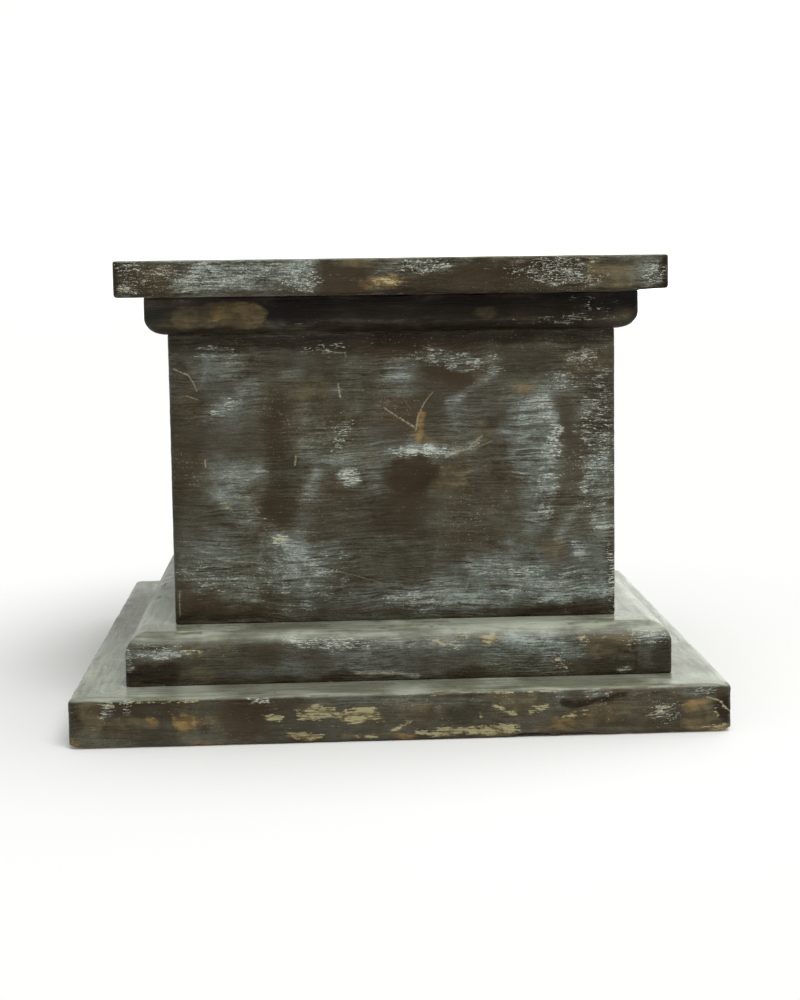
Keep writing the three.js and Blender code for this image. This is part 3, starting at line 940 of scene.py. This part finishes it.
def finish_of(name, lightness=0.44, offset=0.0, scratches=(), front=0.0, underside=False, grain=1.0, sheen_dust_share=1.0, short=1.0, ragged=1.0):
    """The waxed, rubbed paint of one board, with a painted sheen on what faces up and a painted highlight along the
    arrises. scratches are thin lines on the front face at y = front.
    """
    g = Graph(name)
    nodes = g.tree.nodes
    where = nodes.new("ShaderNodeTexCoord").outputs["Object"]
    shifted = g.vec("ADD", where, (offset, offset * 0.7, offset * 1.3))

    # Brush lines run along each side, up over the edge and in across the top
    bend = g.around(g.noise(g.vec("MULTIPLY", shifted, (18.0, 18.0, 26.0)), detail=2.0), 0.009)
    bend2 = g.around(g.noise(g.vec("MULTIPLY", shifted, (110.0, 110.0, 150.0)), detail=0.0), 0.0009)
    level, flat = g.attribute("level"), g.attribute("flat")
    plan = nodes.new("ShaderNodeSeparateXYZ")
    g.put(plan.inputs[0], shifted)
    run = nodes.new("ShaderNodeCombineXYZ")
    g.put(run.inputs[0], plan.outputs[0])
    g.put(run.inputs[1], plan.outputs[1])
    g.put(run.inputs[2], g.add(g.attribute("girth"), offset, bend, bend2))
    along = run.outputs[0]
    lines = g.noise(g.vec("MULTIPLY", along, (36.0 * short, 36.0 * short, 1150.0)), detail=2.0, rough=0.62)
    fine = g.noise(g.vec("MULTIPLY", along, (130.0 * short, 130.0 * short, 1900.0)), detail=1.0, rough=0.6)
    streak = g.noise(g.vec("MULTIPLY", along, (30.0, 30.0, 360.0)), detail=2.5, rough=0.6)
    # Thin broken threads: where the paint caught on the wood, or missed it
    thread_at = g.noise(g.vec("MULTIPLY", along, (70.0 * short, 70.0 * short, 820.0)), detail=2.5, rough=0.62, warp=0.2)
    thread = g.step(g.math("ABSOLUTE", g.math("SUBTRACT", thread_at, 0.5)), 0.034, 0.010)
    gap_at = g.noise(g.vec("MULTIPLY", g.vec("ADD", along, (0.7, 0.9, 0.4)), (55.0 * short, 55.0 * short, 900.0)), detail=1.5, rough=0.6, warp=0.15)
    gap = g.times(g.step(g.math("ABSOLUTE", g.math("SUBTRACT", gap_at, 0.5)), 0.034, 0.004), g.math("SUBTRACT", 1.0, level))
    tear = g.noise(g.vec("MULTIPLY", along, (260.0, 260.0, 800.0)), detail=2.0, rough=0.65)
    cloud = g.noise(shifted, 24.0, 3.5, 0.58, 0.6)
    hue = g.noise(g.vec("ADD", shifted, (3.1, 1.7, 5.3)), 19.0, 3.0, 0.6, 0.5)
    patch = g.noise(g.vec("MULTIPLY", shifted, (110.0, 110.0, 140.0)), detail=3.0, rough=0.62, warp=0.5)
    speck = g.noise(g.vec("MULTIPLY", shifted, (900.0, 900.0, 1500.0)), detail=1.0, rough=0.7, warp=0.3)
    grit = g.noise(g.vec("MULTIPLY", shifted, (2100.0, 2100.0, 2900.0)), detail=0.0)
    brushed = g.step(g.noise(g.vec("MULTIPLY", shifted, (26.0, 26.0, 40.0)), detail=3.0, rough=0.6), 0.36, 0.60, 0.30, 1.0)
    ridge = g.attribute("ridge")
    c = COLOURS

    def soft(layer, broken, most=1.0):
        """How much of a smoky layer shows."""
        strength = g.add(1.0, g.around(cloud, broken * 1.6), g.around(patch, broken * 1.8), g.around(streak, broken * 1.2))
        return g.math("MINIMUM", g.times(g.attribute(layer), g.math("MAXIMUM", strength, 0.0)), most)

    pale, teal = soft("pale", 0.8), soft("teal", 0.7)
    dark, umber, green = soft("dark", 0.6), soft("umber", 0.6), soft("green", 0.6)
    mauve, rust = soft("mauve", 0.7), soft("rust", 0.7)
    white = g.attribute("white")

    # How pale each place is decides how clearly its brush lines and specks stand out
    paleness = g.math("MINIMUM", g.math("MAXIMUM", g.add(
        0.20,
        g.times(pale, 0.75),
        g.times(teal, 0.40),
        g.times(white, 0.35),
        g.around(cloud, 1.1),
        g.times(umber, -0.22),
        g.times(dark, -0.25),
        g.times(rust, -0.15),
    ), 0.06), 1.0)
    crest = g.step(lines, 0.46, 0.66)
    groove = g.step(lines, 0.52, 0.36)
    lined = g.times(g.times(brushed, grain), g.add(0.24, g.times(paleness, 0.44)))
    grainy = g.times(grain, g.add(0.15, g.times(paleness, 0.36)))
    shade = g.add(
        lightness,
        g.around(cloud, 0.62),
        g.around(patch, 0.24),
        g.around(streak, 0.24),
        g.around(ridge, 0.06),
        g.times(pale, 0.34),
        g.times(teal, 0.16),
        g.times(dark, -0.33),
        g.times(umber, -0.17),
        g.times(green, -0.06),
        g.times(g.times(groove, lined), -0.34),
        g.times(g.times(crest, lined), 0.24),
        g.times(g.times(gap, lined), -0.50),
        g.times(g.times(thread, lined), 0.26),
        g.times(g.around(fine, 0.85), grainy),
        g.times(g.around(speck, 0.8), grainy),
        g.times(g.around(grit, 0.7), grainy),
    )
    chart = nodes.new("ShaderNodeValToRGB")
    while len(chart.color_ramp.elements) < len(SHADES_OF_PAINT):
        chart.color_ramp.elements.new(0.5)
    for stop, (at, value) in zip(chart.color_ramp.elements, SHADES_OF_PAINT):
        stop.position, stop.color = at, value
    g.put(chart.inputs[0], shade)
    colour = chart.outputs[0]
    warm = g.vec("MULTIPLY", colour, (1.07, 0.98, 0.83))
    colour = g.mix(g.times(g.step(hue, 0.45, 0.66), g.math("SUBTRACT", 1.0, paleness)), colour, warm)
    cool = g.vec("MULTIPLY", colour, (0.95, 1.015, 1.07))
    colour = g.mix(g.math("MAXIMUM", teal, g.times(g.step(hue, 0.52, 0.34), g.add(0.1, g.times(paleness, 0.7)))), colour, cool)
    colour = g.mix(g.times(green, 0.40), colour, c["green"])
    colour = g.mix(g.times(mauve, 0.40), colour, c["mauve"])
    colour = g.mix(g.times(umber, 0.62), colour, c["umber"])
    colour = g.mix(g.times(rust, 0.62), colour, c["rust"])

    def torn(layer, spread, line_share, tear_share, patch_share, most=1.0):
        """How much of a chipped layer shows: torn along the brush lines."""
        total = g.add(
            g.attribute(layer),
            g.around(lines, line_share * ragged),
            g.around(tear, tear_share * ragged),
            g.around(patch, patch_share * ragged),
            g.around(speck, tear_share * 0.5 * ragged),
        )
        shown = g.times(g.step(total, 0.48 - spread, 0.48 + spread), most)
        return g.times(shown, g.step(g.attribute(layer), 0.04, 0.25))

    tan = torn("tan", 0.46, 0.5, 0.4, 0.8, 0.62)
    colour = g.mix(tan, colour, g.mix(g.step(g.add(patch, g.around(streak, 0.8)), 0.32, 0.68), g_darker(c["tan"], 0.5), c["tan"]))
    gold = torn("gold", 0.40, 0.6, 0.7, 0.9, 0.75)
    colour = g.mix(gold, colour, g.mix(g.step(g.add(patch, g.around(streak, 0.8)), 0.32, 0.68), g_darker(c["gold"], 0.5), c["gold"]))
    cream = torn("cream", 0.13, 1.5, 1.9, 0.9, 0.88)
    colour = g.mix(cream, colour, g.mix(g.step(g.add(tear, g.around(patch, 0.8), g.around(lines, 1.0)), 0.30, 0.70), g_darker(c["tan"], 0.8), c["cream"]))

    # Chalky white, caught on the crests of the brush lines, and a few stray flecks
    caught = g.add(
        g.times(white, 0.76),
        g.times(g.attribute("pale"), 0.06),
        g.times(thread, 0.62),
        g.around(lines, 0.9),
        g.around(tear, 0.8),
        g.around(patch, 0.9),
        g.around(speck, 0.8),
    )
    seen = g.add(0.2 * ragged, g.times(g.step(g.add(white, g.times(pale, 0.3)), 0.03, 0.22), 0.85 - 0.2 * ragged))
    chalk = g.times(g.step(caught, 0.85, 0.97), seen)
    stray = g.times(g.step(g.add(speck, g.around(grit, 0.5), g.around(hue, 0.7)), 0.84, 0.90), 0.55 * ragged)
    flecks = g.math("MAXIMUM", chalk, stray)
    colour = g.mix(flecks, colour, c["white"])

    # Dust and wax, and a painted sheen: what faces up is paled to a grey green, partly for its dust and partly as a
    # painted reflection of the bright surroundings
    dust_and_sheen = g.times(g.step(g.add(level, g.around(patch, 0.12), g.around(streak, 0.12)), 0.15, 0.85), 0.95 * sheen_dust_share)
    film = g.add(0.5, g.around(streak, 1.3), g.around(cloud, 1.1), g.around(lines, 0.25), g.around(patch, 0.5), g.times(umber, -0.4), g.times(pale, 0.35), g.times(white, 0.4))
    colour = g.mix(dust_and_sheen, colour, g.mix(g.step(film, 0.0, 1.0), paint(108, 109, 92), paint(176, 181, 165)))

    # Rubbed arrises, paler partly from worn paint and partly as a painted highlight along them, and bare wood where
    # they are knocked off
    edge = g.attribute("edge")
    rub_and_highlight = g.step(g.add(g.times(edge, 0.55), g.around(patch, 1.1), g.around(tear, 0.9)), 0.58, 0.88)
    colour = g.mix(g.times(rub_and_highlight, 0.45), colour, paint(120, 121, 106))
    chip = g.step(g.add(g.attribute("chip"), g.around(tear, 0.8)), 0.5, 0.8)
    colour = g.mix(g.times(chip, 0.6), colour, g.mix(g.step(lines, 0.4, 0.6), c["bare"], c["tan"]))

    # Thin scratches down to the undercoat
    mask = None
    wobble = nodes.new("ShaderNodeCombineXYZ")
    g.put(wobble.inputs[0], g.times(bend2, 0.7))
    g.put(wobble.inputs[2], g.times(bend2, 0.5))
    wobble = wobble.outputs[0]
    for u0, v0, u1, v1, half_mm, strength in scratches:
        x0, z0 = on_front(u0, v0, front)
        x1, z1 = on_front(u1, v1, front)
        a = (x0 * M, front * M, z0 * M)
        d = np.array([(x1 - x0) * M, 0.0, (z1 - z0) * M])
        rel = g.vec("SUBTRACT", g.vec("ADD", where, wobble), a)
        t = g.math("DIVIDE", g.vec("DOT_PRODUCT", rel, tuple(d)), float(d @ d), clamp=True)
        off = g.vec("MULTIPLY", g.vec("SUBTRACT", rel, g.vec("SCALE", tuple(d), t)), (1.0, 0.35, 1.0))
        near = g.step(g.vec("LENGTH", off), half_mm * M * 1.3, half_mm * M * 0.2)
        near = g.times(near, strength)
        mask = near if mask is None else g.math("MAXIMUM", mask, near)
    if mask is not None:
        broken = g.times(mask, g.step(g.add(speck, g.around(grit, 0.6), g.around(patch, 0.7)), 0.26, 0.46))
        colour = g.mix(g.times(broken, 0.85), colour, paint(160, 150, 122))

    if underside:
        # The face it stands on was never painted
        up = nodes.new("ShaderNodeNewGeometry").outputs["Normal"]
        parts = nodes.new("ShaderNodeSeparateXYZ")
        g.put(parts.inputs[0], up)
        below = g.step(g.add(parts.outputs[2], g.around(patch, 0.1)), -0.75, -0.95)
        wood_grain = g.noise(g.vec("MULTIPLY", shifted, (9.0, 420.0, 9.0)), detail=4.0, rough=0.65)
        wood = g.mix(g.step(wood_grain, 0.35, 0.65), paint(96, 74, 48), paint(136, 108, 72))
        colour = g.mix(below, colour, wood)

    shader = nodes.new("ShaderNodeBsdfPrincipled")
    g.put(shader.inputs["Base Color"], colour)
    shine = g.add(
        0.46,
        g.around(lines, 0.2),
        g.around(cloud, 0.30),
        g.around(patch, 0.20),
        g.times(pale, 0.10),
        g.times(flecks, 0.15),
        g.times(dark, -0.06),
        g.times(level, -0.16),
    )
    g.put(shader.inputs["Roughness"], g.math("MINIMUM", g.math("MAXIMUM", shine, 0.2), 0.8))
    g.put(shader.inputs["Specular IOR Level"], g.add(0.12, g.times(level, 0.08), g.times(g.step(cloud, 0.4, 0.7), 0.08)))
    height = g.add(
        g.times(lines, 0.9),
        g.times(streak, 0.4),
        g.times(speck, 0.25),
        g.times(grit, 0.12),
        g.times(patch, 0.25),
        g.times(cream, -0.12),
        g.times(flecks, 0.12),
    )
    height = g.times(height, g.math("SUBTRACT", 1.0, g.times(level, 0.8)))
    bump = nodes.new("ShaderNodeBump")
    g.put(bump.inputs["Height"], height)
    bump.inputs["Strength"].default_value = 0.6
    bump.inputs["Distance"].default_value = 0.0005
    g.put(shader.inputs["Normal"], bump.outputs[0])
    out = nodes.new("ShaderNodeOutputMaterial")
    g.put(out.inputs["Surface"], shader.outputs[0])
    return g.material


def g_darker(colour, by):
    return (colour[0] * by, colour[1] * by, colour[2] * by, 1.0)


# ------------------------------------------------------------------ the pieces
# Each board takes its place from the CAD node that it stands for.


def place(node):
    lo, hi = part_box(node)
    lo, hi = np.array(lo) / M, np.array(hi) / M
    return (lo[0] + hi[0]) / 2, lo[2], hi[0] - lo[0], hi[2] - lo[2]


def under_square(half, x):
    """1 on flat faces inside a square of that half width: where the next board lies."""
    def test(board, p, n):
        inside = np.maximum(np.abs(p[:, 0] - x), np.abs(p[:, 1]))
        return (np.abs(n[:, 2]) > 0.99) * (1 - ramp(inside, half - 0.5, half + 1.0))
    return test


def both(above, below):
    """Covered above by one square and below by another."""
    def test(board, p, n):
        return np.where(n[:, 2] > 0, above(board, p, n), below(board, p, n))
    return test


PX, PZ, PW, PT = place("plinth_board")
LX, LZ, LW, LT = place("lower_moulding")
DX, DZ, DW, DT = place("die")
UX, UZ, UW, UT = place("upper_moulding")
TX, TZ, TW, TT = place("top_board")


def plinth_wear(board, p, n):
    """The plinth's own damage: rounded bottom corners, and a shallow strip gone from under the front edge."""
    u, v = picture(p)
    front = np.clip(-n[:, 1], 0, 1)
    low = 1 - ramp(p[:, 2], 0.0, 3.2)
    strip = ramp(u, 508, 528) * (1 - ramp(u, 540, 556)) + 0.55 * ramp(u, 553, 563) * (1 - ramp(u, 585, 610))
    cut = 2.2 * strip * low * (front + np.clip(-n[:, 2], 0, 1) * (p[:, 1] < -PW / 2 + 11))
    high = ramp(p[:, 2], PT - 3.2, PT) * (p[:, 0] > 0) * (p[:, 1] < 0)
    corners = (1 - ramp(board.corner, 0.5, 6.0)) * (1 - ramp(board.inset, 1.5, 7.0)) * (low + 0.8 * high)
    return cut + 1.1 * corners


def top_wear(board, p, n):
    """The top board's lower edge is planed away towards the right end."""
    u, v = picture(p)
    z = p[:, 2] - board.z
    right = ramp(p[:, 0], 118, 147)
    return 1.2 * right * (1 - ramp(z, 0.0, 3.0)) * (p[:, 1] < 0) + 0 * u


pieces = []

plinth = Board(
    "plinth_board", PW, PX, PZ,
    profile(PT, (2.5, 2.5, 5), (2.2, 2.2, 5), 12.0, 31.0, 0.5, 1.8),
    (4.2, 3.2, 3.0, 3.4), (230, 100, 90, 100),
)
pieces.append((build(plinth, under_square(LW / 2, LX), 2.4, plinth_wear, seed=1, wild_share=0.2), "plinth_board"))

lower = Board(
    "lower_moulding", LW, LX, LZ,
    profile(LT, (0.6, 0.6, 2), (11.0, 11.0, 22), 6.0, 30.0, 0.5, 2.0),
    (3.0, 2.6, 2.6, 3.0), (200, 96, 84, 96),
)
pieces.append((build(lower, both(under_square(DW / 2, DX), lambda b, p, n: 1.0 * (n[:, 2] < -0.99)), 1.6, seed=2, wild_share=0.2), "lower_moulding"))

die = Board(
    "die", DW, DX, DZ,
    profile(DT, (0.5, 0.5, 2), (0.5, 0.5, 2), 4.0, 4.0, 0.75, 2.0),
    (3.6, 1.6, 2.2, 2.6), (190, 64, 56, 64),
)
pieces.append((build(die, lambda b, p, n: 1.0 * (np.abs(n[:, 2]) > 0.99), 0.9, seed=3, wild_share=0.25), "die"))

upper = Board(
    "upper_moulding", UW, UX, UZ,
    profile(UT, (11.0, 9.5, 20), (0.6, 0.6, 2), 16.0, 5.0, 0.55, 2.0),
    (2.6, 2.4, 2.4, 2.6), (180, 80, 70, 80),
)
pieces.append((build(upper, both(lambda b, p, n: 1.0 * (n[:, 2] > 0.99), under_square(DW / 2, DX)), 0.8, seed=4, wild_share=0.15), "upper_moulding"))

top = Board(
    "top_board", TW, TX, TZ,
    profile(TT, (1.5, 1.5, 4), (1.3, 1.0, 4), 18.0, 3.0, 0.5, 2.0),
    (2.8, 2.4, 2.4, 2.6), (150, 150, 150, 150), filled_top=True,
)
pieces.append((build(top, under_square(UW / 2, UX), 1.3, top_wear, seed=5, wild_share=0.2), "top_board"))

# Thin scratches: from u, v to u, v in the picture, half width in mm, strength
SCRATCHES = {
    "die": [
        (215, 559.5, 330, 569, 0.32, 0.55),
        (330, 569, 382, 583, 0.25, 0.4),
        (338, 384, 340.5, 397, 0.6, 1.0),
        (174, 369, 188, 375, 0.5, 0.9),
        (188, 375, 193, 382, 0.5, 0.7),
        (193, 382, 197, 391, 0.45, 0.6),
        (186, 396, 199, 400, 0.35, 0.5),
        (384, 408, 398, 417, 0.45, 0.8),
        (398, 417, 414, 427, 0.65, 0.95),
        (404, 399, 411, 409, 0.25, 0.35),
        (433, 392, 424, 403, 0.35, 0.6),
        (424, 403, 418, 416, 0.4, 0.8),
        (418, 416, 416, 430, 0.5, 0.8),
        (452, 452, 466, 450, 0.55, 0.9),
        (466, 450, 479, 443, 0.55, 0.9),
        (470, 446, 482, 436, 0.45, 0.7),
        (476, 448, 492, 441, 0.35, 0.5),
        (179.5, 594, 180, 616, 0.4, 0.6),
        (205, 460, 205.5, 467, 0.5, 0.8),
        (296, 456, 295, 465, 0.6, 0.8),
        (478, 585, 560, 581, 0.25, 0.4),
        (400, 603, 470, 600, 0.3, 0.5),
        (470, 575, 464, 596, 0.4, 0.4),
    ],
    "plinth_board": [
        (707, 697, 720, 701, 0.4, 0.8),
        (720, 701, 731, 712, 0.4, 0.7),
        (392, 731, 412, 721, 0.5, 0.6),
        (646, 716, 662, 708, 0.35, 0.6),
        (660, 713, 676, 708, 0.35, 0.5),
    ],
    "lower_moulding": [
        (356, 673, 418, 674, 0.45, 0.7),
        (553, 654, 566, 667, 0.4, 0.5),
    ],
    "upper_moulding": [
        (465, 330, 490, 328.6, 0.3, 0.8),
        (295, 324, 301, 323.8, 0.35, 0.4),
    ],
    "top_board": [],
}
FRONTS = {"plinth_board": -PW / 2, "lower_moulding": -LW / 2, "die": -DW / 2, "upper_moulding": -UW / 2 + 1.5, "top_board": -TW / 2}
# The upper moulding's low lightness is painted shade: it darkens the whole board for the shadow under the top board's
# overhang.
LIGHTNESS = {"plinth_board": 0.50, "lower_moulding": 0.55, "die": 0.46, "upper_moulding": 0.15, "top_board": 0.44}
GRAIN = {"plinth_board": 0.7, "lower_moulding": 1.2, "die": 1.0, "upper_moulding": 0.5, "top_board": 1.25}
SHORT = {"plinth_board": 1.4, "lower_moulding": 1.5, "die": 1.2, "upper_moulding": 1.0, "top_board": 2.8}
RAGGED = {"plinth_board": 1.0, "lower_moulding": 1.0, "die": 0.8, "upper_moulding": 0.22, "top_board": 1.0}
# How much dust and painted sheen each board's upward faces get
SHEEN_DUST_SHARE = {"plinth_board": 1.0, "lower_moulding": 1.0, "die": 1.0, "upper_moulding": 1.0, "top_board": 0.55}

for i, (piece, node) in enumerate(pieces):
    piece.data.materials.append(
        finish_of(
            "waxed_paint_" + node,
            lightness=LIGHTNESS[node],
            grain=GRAIN[node],
            sheen_dust_share=SHEEN_DUST_SHARE[node],
            short=SHORT[node],
            ragged=RAGGED[node],
            offset=0.37 * (i + 1),
            scratches=SCRATCHES[node],
            front=FRONTS[node],
            underside=node == "plinth_board",
        )
    )
    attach(piece, "root")
    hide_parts(node)

# ------------------------------------------------------------ floor and lights
floor_mesh = bpy.data.meshes.new("floor")
reach, segments = 6.0, 96
ring = [(reach * math.cos(2 * math.pi * i / segments), reach * math.sin(2 * math.pi * i / segments), 0.0) for i in range(segments)]
floor_mesh.from_pydata(ring, [], [list(range(segments))])
floor = bpy.data.objects.new("floor", floor_mesh)
scene.collection.objects.link(floor)
fg = Graph("pale_floor")
floor_shader = fg.tree.nodes.new("ShaderNodeBsdfPrincipled")
floor_shader.inputs["Roughness"].default_value = 0.85
on_floor = fg.tree.nodes.new("ShaderNodeTexCoord").outputs["Object"]
mottle = fg.noise(on_floor, 3.0, 3.0)
fg.put(floor_shader.inputs["Base Color"], fg.mix(mottle, (0.87, 0.87, 0.86, 1), (0.89, 0.89, 0.88, 1)))
# Away from the piece the flat floor fades into a plain glowing white, which stands for the backdrop
backdrop = fg.tree.nodes.new("ShaderNodeEmission")
backdrop.inputs["Color"].default_value = (1.0, 1.0, 0.99, 1)
fading = fg.tree.nodes.new("ShaderNodeMixShader")
fg.put(fading.inputs[0], fg.step(fg.vec("LENGTH", on_floor), 0.185, 0.46))
fg.put(fading.inputs[1], floor_shader.outputs[0])
fg.put(fading.inputs[2], backdrop.outputs[0])
fg.put(fg.tree.nodes.new("ShaderNodeOutputMaterial").inputs["Surface"], fading.outputs[0])
floor_mesh.materials.append(fg.material)

class WorldGraph(Graph):
    def __init__(self):
        self.world = bpy.data.worlds.new("studio")
        self.world.use_nodes = True
        self.tree = self.world.node_tree
        self.tree.nodes.clear()


# A white backdrop behind the piece, a window beyond its right end, and a dimmer room above and in front
wg = WorldGraph()
scene.world = wg.world
heading = wg.tree.nodes.new("ShaderNodeTexCoord").outputs["Generated"]
heading_parts = wg.tree.nodes.new("ShaderNodeSeparateXYZ")
wg.put(heading_parts.inputs[0], heading)
behind = wg.step(wg.vec("DOT_PRODUCT", heading, (0.1, 0.995, 0.0)), -0.2, 0.75)
window = wg.step(wg.vec("DOT_PRODUCT", heading, (0.643, 0.766, 0.0)), 0.62, 0.97)
above = wg.step(heading_parts.outputs[2], 0.15, 0.25)
room = wg.add(0.34, wg.times(behind, 0.70))
room = wg.times(room, wg.math("SUBTRACT", 1.0, wg.times(wg.times(above, behind), 0.6)))
room = wg.add(room, wg.times(window, 1.5))
sky = wg.tree.nodes.new("ShaderNodeBackground")
sky.inputs["Color"].default_value = (0.975, 1.0, 0.945, 1)
wg.put(sky.inputs["Strength"], room)
wg.put(wg.tree.nodes.new("ShaderNodeOutputWorld").inputs["Surface"], sky.outputs[0])


def soft_light(name, at, size, power, colour=(1.0, 1.0, 1.0), aim=(0.0, 0.0, 0.12)):
    data = bpy.data.lights.new(name, "AREA")
    data.shape = "RECTANGLE"
    data.size, data.size_y = size
    data.energy = power
    data.color = colour
    lamp = bpy.data.objects.new(name, data)
    scene.collection.objects.link(lamp)
    z = np.array(at, float) - np.array(aim, float)
    z /= np.linalg.norm(z)
    x = np.cross([0, 1.0, 0] if abs(z[2]) > 0.9 else [0, 0, 1.0], z)
    x /= np.linalg.norm(x)
    y = np.cross(z, x)
    lamp.matrix_world = Matrix([[x[i], y[i], z[i], at[i]] for i in range(3)] + [[0, 0, 0, 1]])
    return lamp


soft_light("key", (0.35, -1.0, 1.5), (0.9, 0.9), 20.0)
soft_light("top", (0.1, 0.1, 1.8), (1.2, 1.2), 8.0)

scene.view_settings.view_transform = "Standard"
scene.view_settings.look = "None"
scene.view_settings.exposure = 0.0
scene.view_settings.gamma = 1.0
